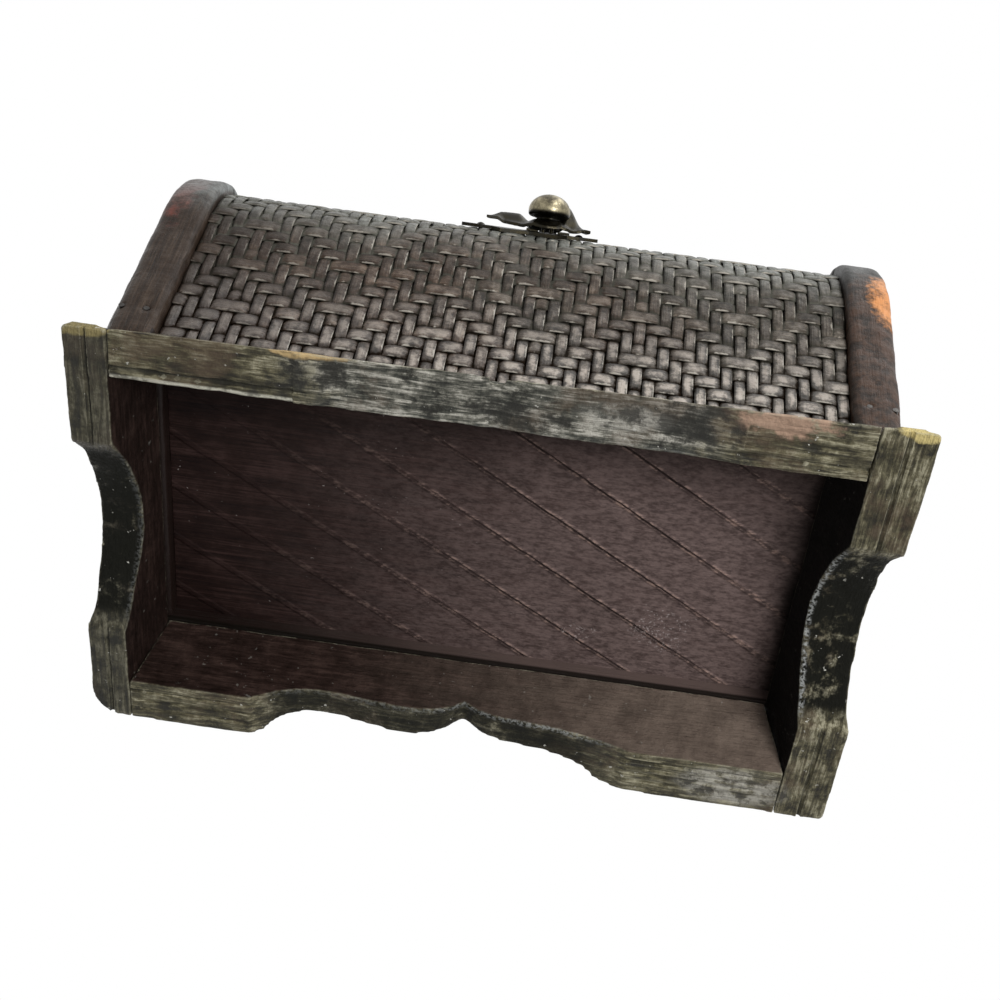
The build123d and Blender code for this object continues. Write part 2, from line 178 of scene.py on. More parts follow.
def plus(tree, first, second):
    return reckon(tree, "ADD", first, second)


def minus(tree, first, second):
    return reckon(tree, "SUBTRACT", first, second)


def larger(tree, first, second):
    return reckon(tree, "MAXIMUM", first, second)


def axes_of(tree, vector):
    return put(tree, "SeparateXYZ", Vector=vector).outputs


def on_vectors(tree, operation, *values):
    node = put(tree, "VectorMath", {"operation": operation})
    for socket, value in zip(node.inputs, values):
        feed(tree, socket, value)
    return node.outputs


def scaled(tree, vector, factors):
    return on_vectors(tree, "MULTIPLY", vector, factors)["Vector"]


def mixed(tree, share, first, second):
    """Two colours, each an output or its red, green and blue, by the share of the second."""
    node = put(tree, "Mix", {"data_type": "RGBA"})
    for index, value in ((0, share), (6, first), (7, second)):
        feed(tree, node.inputs[index], (*value, 1.0) if isinstance(value, tuple) else value)
    return node.outputs[2]


def eased(tree, value, low, high, first=0.0, last=1.0):
    """A smooth step from low to high."""
    node = put(tree, "MapRange", {"interpolation_type": "SMOOTHSTEP"})
    for name, number in (("From Min", low), ("From Max", high), ("To Min", first), ("To Max", last)):
        feed(tree, node.inputs[name], number)
    feed(tree, node.inputs["Value"], value)
    return node.outputs["Result"]


def tones(tree, value, stops):
    """A colour ramp of places, each with its red, green and blue."""
    node = put(tree, "ValToRGB")
    ramp = node.color_ramp
    while len(ramp.elements) < len(stops):
        ramp.elements.new(1.0)
    for element, (place, colour) in zip(ramp.elements, stops):
        element.position = place
        element.color = (*colour, 1.0)
    feed(tree, node.inputs["Fac"], value)
    return node.outputs["Color"]


def noisy(tree, vector, scale, detail=4.0, roughness=0.6, distortion=0.0):
    node = put(tree, "TexNoise", Vector=vector, Scale=scale, Detail=detail, Roughness=roughness,
               Distortion=distortion)
    return node.outputs["Fac"]


def new_group(name, inputs, outputs):
    tree = bpy.data.node_groups.new(name, "ShaderNodeTree")
    for label, kind, value in inputs:
        socket = tree.interface.new_socket(label, in_out="INPUT", socket_type="NodeSocket" + kind)
        if value is not None:
            socket.default_value = value
    for label, kind in outputs:
        tree.interface.new_socket(label, in_out="OUTPUT", socket_type="NodeSocket" + kind)
    return tree, tree.nodes.new("NodeGroupInput").outputs, tree.nodes.new("NodeGroupOutput").inputs


def placed(tree, group, **sockets):
    return put(tree, "Group", {"node_tree": group}, **sockets).outputs


# Shared effects
def build_grain():
    """Fibres that run along the axis whose frequency is low, with broad bands and open pores."""
    tree, given, made = new_group(
        "wood_grain",
        (("Vector", "Vector", None), ("Frequency", "Vector", (40.0, 900.0, 900.0))),
        (("Fibres", "Float"), ("Bands", "Float"), ("Pores", "Float")),
    )
    stretched = scaled(tree, given["Vector"], given["Frequency"])
    fine = noisy(tree, stretched, 1.0, 5.0, 0.65, 0.3)
    broad = noisy(tree, scaled(tree, stretched, (0.35, 0.12, 0.12)), 1.0, 3.0, 0.55, 1.2)
    streak = noisy(tree, scaled(tree, stretched, (1.6, 2.6, 2.6)), 1.0, 2.0, 0.5)
    feed(tree, made["Fibres"], fine)
    feed(tree, made["Bands"], broad)
    feed(tree, made["Pores"], eased(tree, streak, 0.60, 0.70))
    return tree


def build_edge_wear():
    """Where the surface turns outwards, broken up by noise."""
    tree, given, made = new_group(
        "edge_wear",
        (("Vector", "Vector", None), ("Start", "Float", 0.515), ("Full", "Float", 0.58),
         ("Patch", "Float", 160.0)),
        (("Worn", "Float"), ("Hollow", "Float")),
    )
    turned = put(tree, "NewGeometry").outputs["Pointiness"]
    patch = noisy(tree, given["Vector"], given["Patch"], 5.0, 0.7)
    outward = eased(tree, turned, given["Start"], given["Full"])
    feed(tree, made["Worn"], times(tree, outward, eased(tree, patch, 0.38, 0.62)))
    feed(tree, made["Hollow"], eased(tree, turned, 0.485, 0.42))
    return tree


def build_chips():
    """Small torn flecks of bare material or dust, gathered in loose patches."""
    tree, given, made = new_group(
        "chips",
        (("Vector", "Vector", None), ("Scale", "Float", 700.0), ("Amount", "Float", 0.3)),
        (("Chips", "Float"),),
    )
    torn = noisy(tree, given["Vector"], given["Scale"], 3.0, 0.6)
    gathered = noisy(tree, given["Vector"], 70.0, 3.0, 0.6)
    limit = minus(tree, 0.80, times(tree, given["Amount"], gathered))
    above = minus(tree, torn, limit)
    feed(tree, made["Chips"], eased(tree, above, 0.0, 0.03))
    return tree


def build_region():
    """A soft-edged, ragged patch round a place; Reach holds its half sizes."""
    tree, given, made = new_group(
        "region",
        (("Vector", "Vector", None), ("Place", "Vector", (0.0, 0.0, 0.0)),
         ("Reach", "Vector", (0.01, 0.01, 0.01)), ("Ragged", "Float", 0.6)),
        (("Share", "Float"),),
    )
    offset = on_vectors(tree, "SUBTRACT", given["Vector"], given["Place"])["Vector"]
    ratio = on_vectors(tree, "DIVIDE", offset, given["Reach"])["Vector"]
    length = on_vectors(tree, "LENGTH", ratio)["Value"]
    wander = minus(tree, noisy(tree, given["Vector"], 150.0, 5.0, 0.65), 0.5)
    bent = plus(tree, length, times(tree, wander, times(tree, given["Ragged"], 4.0)))
    feed(tree, made["Share"], eased(tree, bent, 1.15, 0.75))
    return tree


wood_grain = build_grain()
edge_wear = build_edge_wear()
chips = build_chips()
region = build_region()


def new_material(name):
    material = bpy.data.materials.new(name)
    material.use_nodes = True
    tree = material.node_tree
    shader = tree.nodes["Principled BSDF"]
    place = put(tree, "TexCoord").outputs["Object"]
    return material, tree, shader, place


def bumped(tree, shader, height, strength, distance):
    bump = put(tree, "Bump", Height=height, Strength=strength, Distance=distance)
    feed(tree, shader.inputs["Normal"], bump.outputs["Normal"])


def attribute(tree, name, output="Fac"):
    return put(tree, "Attribute", {"attribute_name": name}).outputs[output]


def patch_at(tree, vector, place, reach, ragged=0.6):
    return placed(tree, region, Vector=vector, Place=place, Reach=reach, Ragged=ragged)["Share"]


def skirt_ground(tree, place, streaks, blots):
    """Olive wood, grey in the middle of the near board, browned and blotted black in places."""
    broad = noisy(tree, place, 38.0, 5.0, 0.65)
    olive = tones(tree, streaks, (
        (0.41, (0.012, 0.010, 0.006)), (0.47, (0.042, 0.037, 0.020)), (0.52, (0.120, 0.107, 0.062)),
        (0.59, (0.36, 0.335, 0.235)),
    ))
    grey = tones(tree, streaks, (
        (0.42, (0.010, 0.010, 0.008)), (0.47, (0.045, 0.046, 0.037)), (0.52, (0.165, 0.160, 0.132)),
        (0.57, (0.50, 0.48, 0.42)),
    ))
    wooden = mixed(tree, patch_at(tree, place, *near_grey_mark), olive, grey)
    brown = mixed(tree, eased(tree, broad, 0.5, 0.62, 0.0, 0.6), wooden, (0.085, 0.058, 0.036))
    dark = times(tree, eased(tree, blots, 0.47, 0.36), eased(tree, broad, 0.54, 0.42))
    return mixed(tree, times(tree, dark, 0.85), brown, (0.014, 0.013, 0.010))


def skirt_marks(tree, place, colour, blots):
    """Coloured, dark and pale marks, and the yellow tips of the near feet."""
    for spot, reach, tint in near_colour_marks:
        colour = mixed(tree, patch_at(tree, place, spot, reach), colour, tint)
    for mark in near_dark_marks:
        blot = times(tree, patch_at(tree, place, *mark), eased(tree, blots, 0.60, 0.44, 0.2, 0.8))
        colour = mixed(tree, blot, colour, (0.016, 0.015, 0.012))
    pale = larger(tree, patch_at(tree, place, *near_pale_mark), patch_at(tree, place, *far_pale_mark))
    pale = times(tree, pale, eased(tree, blots, 0.42, 0.56, 0.1, 0.75))
    colour = mixed(tree, pale, colour, (0.40, 0.385, 0.34))
    for tip in near_tips:
        colour = mixed(tree, patch_at(tree, place, tip, tip_reach, 0.4), colour, (0.55, 0.45, 0.19))
    return colour


def skirt_stain_light_and_shade(tree, place, along, streaks, blots):
    """The dark stain inside, with painted light and shade: to the right it is paler on the long boards, a
    painted light, and black on the side boards, a painted shade.
    """
    stain = tones(tree, streaks, (
        (0.38, (0.006, 0.003, 0.002)), (0.50, (0.018, 0.010, 0.008)), (0.62, (0.045, 0.027, 0.022)),
    ))
    rightward = eased(tree, axes_of(tree, place)["X"], -0.05, 0.09)
    if along == "x":
        # Painted light: the inner faces of the long boards grow paler towards the right.
        pale = times(tree, rightward, eased(tree, blots, 0.30, 0.66, 0.5, 0.9))
        return mixed(tree, pale, stain, (0.165, 0.127, 0.102))
    # Painted shade: the inner faces of the side boards darken, to black at the right.
    return mixed(tree, eased(tree, rightward, 0.0, 1.0, 0.35, 0.97), stain, (0.001, 0.0008, 0.0006))


def skirt_edges(tree, place, colour, blots, inside):
    """Rubbed edges, dark hollows and grooves, the bead's pale crest, a speckled brim and bare chips."""
    wear = placed(tree, edge_wear, Vector=place, Start=0.51, Full=0.56, Patch=230.0)
    colour = mixed(tree, times(tree, wear["Worn"], 0.7), colour, (0.36, 0.34, 0.25))
    colour = mixed(tree, times(tree, wear["Hollow"], 0.9), colour, (0.006, 0.006, 0.004))
    bead = attribute(tree, "bead")
    colour = mixed(tree, eased(tree, bead, -0.15, -0.9, 0.0, 0.85), colour, (0.016, 0.015, 0.010))
    crest = times(tree, eased(tree, bead, 0.15, 0.9), eased(tree, blots, 0.38, 0.50, 0.35, 1.0))
    colour = mixed(tree, crest, colour, (0.62, 0.60, 0.50))
    crumbs = noisy(tree, place, 1100.0, 3.0, 0.6)
    brim = times(tree, attribute(tree, "brim"), eased(tree, crumbs, 0.44, 0.58))
    rightward = eased(tree, axes_of(tree, place)["X"], -0.04, 0.08, 0.15, 0.9)
    colour = mixed(tree, times(tree, brim, rightward), colour, (0.36, 0.37, 0.36))
    bare = placed(tree, chips, Vector=place, Scale=520.0, Amount=0.22)["Chips"]
    bare = times(tree, bare, eased(tree, inside, 0.0, 1.0, 0.85, 0.15))
    return mixed(tree, bare, colour, (0.52, 0.51, 0.46))


def skirt_wood(name, along):
    """Aged olive and grey wood: mottled, rubbed pale on its edges, sooty in the arches, stained inside, with
    painted light and painted shade there.
    """
    material, tree, shader, place = new_material(name)
    frequency = (110.0, 1100.0, 1100.0) if along == "x" else (1100.0, 110.0, 1100.0)
    grain = placed(tree, wood_grain, Vector=place, Frequency=frequency)
    blots = noisy(tree, place, 150.0, 7.0, 0.72)
    streaks = plus(tree, times(tree, grain["Fibres"], 0.42),
                   plus(tree, times(tree, grain["Bands"], 0.2), times(tree, blots, 0.38)))
    outer = skirt_marks(tree, place, skirt_ground(tree, place, streaks, blots), blots)
    if along == "y":
        leftmost = eased(tree, axes_of(tree, place)["X"], -0.090, -0.096, 0.0, 0.62)
        outer = mixed(tree, leftmost, outer, (0.016, 0.016, 0.013))
    soot = times(tree, attribute(tree, "soot"), eased(tree, blots, 0.74, 0.52))
    sooty = mixed(tree, soot, outer, (0.008, 0.008, 0.006))
    inside = attribute(tree, "inside")
    body = mixed(tree, inside, sooty, skirt_stain_light_and_shade(tree, place, along, streaks, blots))
    feed(tree, shader.inputs["Base Color"], skirt_edges(tree, place, body, blots, inside))
    feed(tree, shader.inputs["Roughness"], eased(tree, blots, 0.3, 0.7, 0.70, 0.48))
    dull = larger(tree, inside, times(tree, soot, 0.85))
    feed(tree, shader.inputs["Specular IOR Level"], eased(tree, dull, 0.0, 1.0, 0.22, 0.04))
    height = plus(tree, times(tree, grain["Fibres"], 0.7), times(tree, blots, 1.2))
    bumped(tree, shader, height, 1.0, 0.0012)
    return material


def from_dome_axis(tree, place):
    """Distance from the middle plane low down, and from the axis of the dome above its spring line."""
    axes = axes_of(tree, place)
    over = larger(tree, minus(tree, axes["Z"], spring_height), 0.0)
    return reckon(tree, "SQRT", plus(tree, reckon(tree, "POWER", axes["Y"], 2.0),
                                     reckon(tree, "POWER", over, 2.0)))


def outside_of_walls(tree, place):
    """1 on the outer face of the bent walls, under the cover."""
    return reckon(tree, "GREATER_THAN", from_dome_axis(tree, place), wall_radius)


def front_most(tree, axes):
    """Dust and the painted sheen lie in full on the front of the dome, and less on its top."""
    return eased(tree, axes["Y"], -0.012, -0.036, 0.42, 1.0)


def stained_wood(name, along, dark, middle, light, gloss=0.45, sheen=0.12, extra=None):
    """Dark stained wood with fine fibres; extra may lay marks of its own over the colour."""
    material, tree, shader, place = new_material(name)
    frequency = (45.0, 1500.0, 1500.0) if along == "x" else (1500.0, 1500.0, 45.0)
    grain = placed(tree, wood_grain, Vector=place, Frequency=frequency)
    blots = noisy(tree, place, 130.0, 6.0, 0.68)
    streaks = plus(tree, times(tree, grain["Fibres"], 0.42),
                   plus(tree, times(tree, grain["Bands"], 0.25), times(tree, blots, 0.33)))
    colour = tones(tree, streaks, ((0.38, dark), (0.50, middle), (0.62, light)))
    pored = mixed(tree, times(tree, grain["Pores"], 0.6), colour, tuple(0.35 * c for c in dark))
    bare = placed(tree, chips, Vector=place, Scale=800.0, Amount=0.14)["Chips"]
    final = mixed(tree, times(tree, bare, 0.6), pored, (0.35, 0.32, 0.30))
    height = plus(tree, minus(tree, grain["Fibres"], times(tree, grain["Pores"], 0.5)), blots)
    if extra:
        final, height = extra(tree, place, final, height)
    feed(tree, shader.inputs["Base Color"], final)
    feed(tree, shader.inputs["Roughness"], eased(tree, blots, 0.3, 0.7, gloss + 0.15, gloss))
    shader.inputs["Specular IOR Level"].default_value = sheen
    bumped(tree, shader, height, 0.55, 0.0004)
    return material


def shade_under_cover(tree, place, colour, height):
    """The outer face of the bent walls, under the cover, is black: painted shade in the gaps between the
    strips.
    """
    inner = dark_ledge(tree, place, colour)
    # Painted shade: black on the walls' outer face, seen between the strips.
    return mixed(tree, outside_of_walls(tree, place), inner, (0.004, 0.003, 0.002)), height


def underside_haze(tree, place):
    """Dust and a painted sheen on the underside of the chest: none at the left and near edges, most at the
    right; the near edge stays dark as painted shade.
    """
    axes = axes_of(tree, place)
    slow = times(tree, noisy(tree, place, 24.0, 3.0, 0.6), 0.06)
    return times(tree, eased(tree, plus(tree, axes["X"], slow), -0.050, 0.085),
                 eased(tree, plus(tree, axes["Y"], slow), -0.042, 0.030))


def dark_ledge(tree, place, colour, shadow_lined=True):
    """Round and under the floor board: its dark stain, paler under the haze of dusting and painted sheen, and
    a black painted shadow line at the skirt.
    """
    axes = axes_of(tree, place)
    inside = reckon(tree, "LESS_THAN", reckon(tree, "ABSOLUTE", axes["X"]), half_length + 1.0 * mm)
    below = times(tree, inside, eased(tree, axes["Z"], floor_underside + 0.6 * mm, floor_underside))
    # Paler where the haze of dusting and painted sheen lies.
    stain = mixed(tree, underside_haze(tree, place), (0.009, 0.005, 0.004), (0.090, 0.064, 0.057))
    if shadow_lined:
        # Painted shadow: a black line where the floor board meets the skirt.
        line = eased(tree, axes["Z"], skirt_height + 1.4 * mm, skirt_height + 0.5 * mm, 0.0, 0.92)
        stain = mixed(tree, line, stain, (0.004, 0.003, 0.002))
    return mixed(tree, below, colour, stain)


def from_scores(tree, place):
    """Distance from the nearest scored line, as a share of their pitch; the lines wander a little."""
    axes = axes_of(tree, place)
    side = minus(tree, times(tree, minus(tree, axes["X"], score_offset), math.sin(score_turn)),
                 times(tree, axes["Y"], math.cos(score_turn)))
    wander = times(tree, minus(tree, noisy(tree, place, 120.0, 4.0, 0.6), 0.5), score_wander)
    counted = reckon(tree, "DIVIDE", plus(tree, side, wander), score_spacing * math.sin(score_turn))
    return reckon(tree, "ABSOLUTE", minus(tree, counted, reckon(tree, "ROUND", counted)))


def scored_underside(tree, place, colour, height):
    """A patchy haze of dusting and painted sheen, pale burrs beside the scored lines shown as painted
    highlights only within the haze, dark cuts, pale flecks that are painted glints, and a black right end
    that is a painted shadow.
    """
    axes = axes_of(tree, place)
    gap = from_scores(tree, place)
    rag = noisy(tree, scaled(tree, place, (0.75, 1.4, 1.0)), 520.0, 6.0, 0.75)
    haze = underside_haze(tree, place)
    # Dusting and a painted sheen, patchy, most at the right.
    dust_and_sheen = times(tree, haze, eased(tree, rag, 0.34, 0.64, 0.35, 1.0))
    colour = mixed(tree, dust_and_sheen, colour, (0.150, 0.108, 0.100))
    beside = eased(tree, gap, 0.085, 0.03)
    # Pale burrs beside the scored lines, lit as painted highlights only where the haze lies.
    burr_highlight = times(tree, beside, times(tree, eased(tree, rag, 0.47, 0.62), haze))
    colour = mixed(tree, times(tree, burr_highlight, 0.8), colour, (0.34, 0.23, 0.19))
    cut = times(tree, eased(tree, gap, 0.030, 0.012), eased(tree, rag, 0.36, 0.5, 0.3, 0.9))
    cut = times(tree, cut, times(tree, eased(tree, axes["X"], -0.040, 0.020),
                                 eased(tree, axes["X"], 0.080, 0.050, 0.2, 1.0)))
    colour = mixed(tree, cut, colour, (0.006, 0.004, 0.004))
    flecks = noisy(tree, place, 1500.0, 3.0, 0.6)
    # Painted glints: pale flecks in two small patches of the floor.
    for mark in floor_glint_marks:
        glint_flecks = times(tree, patch_at(tree, place, *mark), eased(tree, flecks, 0.56, 0.66))
        colour = mixed(tree, glint_flecks, colour, (0.28, 0.235, 0.225))
    # Painted shadow: the floor fades to black towards its right end, beside the right board.
    right_shadow_edge = plus(tree, axes["X"], times(tree, noisy(tree, place, 60.0, 3.0, 0.6), 0.006))
    colour = mixed(tree, eased(tree, right_shadow_edge, 0.0845, 0.0895, 0.0, 0.96), colour, (0.002, 0.0015, 0.001))
    return colour, plus(tree, height, times(tree, beside, 1.4))


def handled_ends(tree, place, colour, height):
    """Rubbed reddish and orange places on the rims of the end boards, and high up a bluish dusting with a
    painted sheen.
    """
    axes = axes_of(tree, place)
    worn = noisy(tree, place, 260.0, 6.0, 0.7)
    left_rim = times(tree, patch_at(tree, place, *left_rim_mark), eased(tree, worn, 0.40, 0.60, 0.2, 0.8))
    colour = mixed(tree, left_rim, colour, (0.16, 0.045, 0.032))
    colour = mixed(tree, eased(tree, axes["X"], 0.0, 0.05, 0.0, 0.74), colour, (0.004, 0.003, 0.002))
    # Dusting and a painted sheen of sky light, high on the rims and most at the front.
    high = times(tree, eased(tree, axes["Z"], 0.076, 0.108), eased(tree, axes["X"], -0.05, 0.05, 1.0, 0.3))
    high = times(tree, high, front_most(tree, axes))
    high = times(tree, high, eased(tree, from_dome_axis(tree, place), 50.2 * mm, 51.6 * mm, 0.12, 1.0))
    high = times(tree, high, eased(tree, worn, 0.34, 0.62, 0.35, 1.0))
    colour = mixed(tree, high, colour, (0.190, 0.205, 0.200))
    ruddy = times(tree, patch_at(tree, place, *right_rim_mark), eased(tree, worn, 0.38, 0.60, 0.1, 0.75))
    colour = mixed(tree, ruddy, colour, (0.062, 0.032, 0.019))
    bared = times(tree, patch_at(tree, place, *orange_mark), eased(tree, worn, 0.36, 0.58, 0.15, 1.0))
    colour = mixed(tree, bared, colour, (0.55, 0.23, 0.075))
    return dark_ledge(tree, place, colour, shadow_lined=False), plus(tree, height, times(tree, worn, 0.8))


def strip_ground(tree, axes, level, broad):
    """Brown strips, greyer towards the right and darker towards the left."""
    brown = tones(tree, level, (
        (0.38, (0.010, 0.006, 0.003)), (0.47, (0.028, 0.016, 0.010)), (0.55, (0.054, 0.034, 0.023)),
        (0.66, (0.135, 0.095, 0.068)),
    ))
    grey = tones(tree, level, (
        (0.38, (0.010, 0.008, 0.005)), (0.47, (0.031, 0.024, 0.017)), (0.55, (0.060, 0.049, 0.037)),
        (0.66, (0.165, 0.142, 0.115)),
    ))
    across = plus(tree, times(tree, axes["X"], 5.0), times(tree, broad, 1.5))
    colour = mixed(tree, eased(tree, across, 0.45, 1.15), brown, grey)
    leftward = eased(tree, plus(tree, axes["X"], times(tree, broad, 0.05)), -0.010, -0.070, 0.0, 0.68)
    return mixed(tree, leftward, colour, (0.016, 0.011, 0.008))


def strip_dust_and_sheen(tree, place, axes, height, blots, colour):
    """Dust, crumbs and a painted sheen high up, above all at the front; the pale crumbs are also painted
    glints.
    """
    front = front_most(tree, axes)
    # Dusting and a painted sheen of sky light, grey-green high up.
    dust_and_sheen = times(tree, times(tree, eased(tree, height, 0.072, 0.110), front),
                 eased(tree, blots, 0.36, 0.6, 0.5, 0.95))
    dust_and_sheen_colour = mixed(tree, dust_and_sheen, colour, (0.185, 0.192, 0.172))
    crumbs = noisy(tree, place, 900.0, 4.0, 0.7)
    # Pale crumbs that are also painted glints of sky light.
    crumbs_and_glints = times(tree, times(tree, eased(tree, height, 0.088, 0.118), front),
                     eased(tree, crumbs, 0.50, 0.62))
    return mixed(tree, times(tree, crumbs_and_glints, 0.6), dust_and_sheen_colour, (0.34, 0.36, 0.34))


def strip_wear_and_highlights(tree, axes, height, uneven, blots, broad, colour):
    """Crowns rubbed pale low down, partly a painted highlight, and narrow bright edges that are painted
    highlights; both are fainter at the left.
    """
    low = times(tree, eased(tree, height, 0.070, 0.028, 0.06, 1.0),
                eased(tree, axes["X"], -0.085, 0.010, 0.22, 1.0))
    bands = eased(tree, broad, 0.38, 0.58, 0.45, 1.0)
    # Rubbed pale crowns, partly wear and partly a painted highlight, strongest low down.
    crown_wear_and_highlight = times(tree, eased(tree, uneven, 0.60, 1.05), times(tree, low, bands))
    rubbed = mixed(tree, times(tree, crown_wear_and_highlight, 0.85), colour, (0.42, 0.365, 0.31))
    # Painted highlights on one edge of each strip, where it lies on top.
    ragged = plus(tree, attribute(tree, "edge"), times(tree, minus(tree, blots, 0.5), 1.1))
    edge_glint = times(tree, eased(tree, ragged, 0.74, 0.98), eased(tree, broad, 0.36, 0.56, 0.3, 0.95))
    edge_glint = times(tree, edge_glint, eased(tree, axes["X"], -0.085, -0.020, 0.45, 1.0))
    return mixed(tree, edge_glint, rubbed, (0.34, 0.315, 0.27))


def strip_material():
    """Dark lacquered strips: rubbed pale low down with painted highlights, a dusting and a painted sheen high
    up, dirty and in painted shade where they dip, and bright edges that are painted highlights.
    """
    material, tree, shader, place = new_material("woven strip")
    axes = axes_of(tree, place)
    fibre = attribute(tree, "fibre", "Vector")
    lines = noisy(tree, scaled(tree, fibre, (120.0, 2200.0, 1.0)), 1.0, 4.0, 0.65)
    blots = noisy(tree, place, 330.0, 5.0, 0.68)
    broad = noisy(tree, place, 30.0, 4.0, 0.6)
    level = plus(tree, times(tree, lines, 0.36), times(tree, blots, 0.52))
    level = plus(tree, level, times(tree, attribute(tree, "tone"), 0.12))
    height = plus(tree, axes["Z"], times(tree, minus(tree, broad, 0.5), 0.05))
    uneven = plus(tree, attribute(tree, "proud"), times(tree, minus(tree, blots, 0.5), 1.5))
    colour = strip_ground(tree, axes, level, broad)
    colour = strip_dust_and_sheen(tree, place, axes, height, blots, colour)
    colour = strip_wear_and_highlights(tree, axes, height, uneven, blots, broad, colour)
    # Dirty and in painted shade where the strips dip under others; greyer high up.
    dirt_and_shade = mixed(tree, eased(tree, height, 0.035, 0.10), (0.009, 0.006, 0.004), (0.100, 0.099, 0.083))
    colour = mixed(tree, eased(tree, uneven, 0.50, 0.00, 0.0, 0.97), colour, dirt_and_shade)
    feed(tree, shader.inputs["Base Color"], colour)
    feed(tree, shader.inputs["Roughness"], eased(tree, blots, 0.35, 0.65, 0.50, 0.28))
    shine = times(tree, eased(tree, uneven, 0.0, 0.6), eased(tree, axes["Z"], 0.03, 0.07, 0.45, 0.12))
    feed(tree, shader.inputs["Specular IOR Level"], shine)
    bumped(tree, shader, plus(tree, times(tree, lines, 0.6), blots), 0.9, 0.0006)
    return material


def shade_under_the_knob(tree, place):
    """1 close to the hasp, where the knob is darkened with painted shade, and 0 on the dome of the knob."""
    axes = axes_of(tree, place)
    out = plus(tree, times(tree, minus(tree, axes["Y"], hasp_axis.y), hasp_out.y),
               times(tree, minus(tree, axes["Z"], hasp_axis.z), hasp_out.z))
    return eased(tree, out, 4.4 * mm, 3.2 * mm)


def brass_material(name, dark, light, bright_share=0.5, painted_shade=None):
    """Darkened metal, bright where it has been rubbed; a mask of painted shade may darken some of it."""
    material, tree, shader, place = new_material(name)
    cloud = noisy(tree, place, 300.0, 8.0, 0.75)
    fine = noisy(tree, place, 2600.0, 3.0, 0.6)
    limit = 0.66 - 0.3 * bright_share
    colour = mixed(tree, eased(tree, cloud, limit - 0.16, limit + 0.16), dark, light)
    # Painted shade, where a mask is given.
    if painted_shade:
        colour = mixed(tree, painted_shade(tree, place), colour, (0.004, 0.0035, 0.002))
    feed(tree, shader.inputs["Base Color"], colour)
    feed(tree, shader.inputs["Metallic"], eased(tree, cloud, 0.3, 0.6, 0.6, 1.0))
    feed(tree, shader.inputs["Roughness"], eased(tree, cloud, 0.35, 0.65, 0.50, 0.30))
    bumped(tree, shader, plus(tree, cloud, times(tree, fine, 0.4)), 0.25, 0.0002)
    return material


skirt_long_wood = skirt_wood("aged skirt wood, long boards", "x")
skirt_side_wood = skirt_wood("aged skirt wood, side boards", "y")
recess_wood = stained_wood("stained floor wood", "x", (0.004, 0.002, 0.002), (0.012, 0.006, 0.005),
                           (0.034, 0.019, 0.017), sheen=0.05, extra=scored_underside)
wall_wood = stained_wood("stained wall wood", "x", (0.014, 0.008, 0.006), (0.030, 0.018, 0.013),
                         (0.060, 0.038, 0.028), extra=shade_under_cover)
end_wood = stained_wood("end board wood", "z", (0.008, 0.005, 0.003), (0.023, 0.014, 0.009),
                        (0.058, 0.040, 0.028), gloss=0.36, extra=handled_ends)
strip_wood = strip_material()
clasp_brass = brass_material("darkened clasp brass", (0.008, 0.007, 0.004), (0.036, 0.031, 0.019), 0.4)
knob_brass = brass_material("rubbed knob brass", (0.045, 0.037, 0.022), (0.330, 0.290, 0.190), 0.55,
                            shade_under_the_knob)
hinge_brass = brass_material("darkened hinge brass", (0.022, 0.018, 0.011), (0.095, 0.080, 0.048), 0.4)
nail_iron = brass_material("dark nail iron", (0.020, 0.018, 0.016), (0.09, 0.085, 0.08))


# Carried-over pieces
def finish_node(name, material):
    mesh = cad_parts[name].data
    mesh.materials.clear()
    mesh.materials.append(material)


for name in ("front_wall", "back_wall", "lid_shell"):
    finish_node(name, wall_wood)
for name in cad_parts:
    if name.startswith("hinge"):
        finish_node(name, hinge_brass)
    elif name.startswith("clasp"):
        finish_node(name, knob_brass if name == "clasp_knob" else clasp_brass)
    elif name.startswith("rim_nails"):
        finish_node(name, nail_iron)


# Mesh tools
def eased_number(value, low, high):
    share = min(1.0, max(0.0, (value - low) / (high - low)))
    return share * share * (3 - 2 * share)


def rise(value, low, high):
    """0 below low, 1 above high, both in millimetres, with a smooth step between."""
    return eased_number(value, low * mm, high * mm)


def fall(value, low, high):
    return 1.0 - rise(value, low, high)


def add_object(name, data):
    made = bpy.data.objects.new(name, data)
    bpy.context.scene.collection.objects.link(made)
    return made


def add_piece(shape, name, node, body, material, smooth=True):
    """Turns a shape into the piece that stands for a frame node."""
    mesh = bpy.data.meshes.new(name)
    shape.to_mesh(mesh)
    shape.free()
    mesh.materials.append(material)
    for polygon in mesh.polygons:
        polygon.use_smooth = smooth
    piece = add_object(name, mesh)
    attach(piece, body)
    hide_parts(node)


def merged(node):
    """A copy of a frame piece whose faces share their corners."""
    copy = bmesh.new()
    copy.from_mesh(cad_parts[node].data)
    bmesh.ops.remove_doubles(copy, verts=copy.verts, dist=1e-6)
    return copy


def skinned(node, grain_size):
    """A copy of a frame piece as one even skin of small faces."""
    copy = merged(node)
    rough = bpy.data.meshes.new(node + " copy")
    copy.to_mesh(rough)
    copy.free()
    holder = add_object(node + " copy", rough)
    skin = holder.modifiers.new("skin", "REMESH")
    skin.mode = "VOXEL"
    skin.voxel_size = grain_size
    even = bmesh.new()
    even.from_object(holder, bpy.context.evaluated_depsgraph_get())
    bpy.data.objects.remove(holder)
    bpy.data.meshes.remove(rough)
    return even


def smoothed(even, verts, rounds):
    for _ in range(rounds):
        bmesh.ops.smooth_vert(even, verts=verts, factor=0.5,
                              use_axis_x=True, use_axis_y=True, use_axis_z=True)


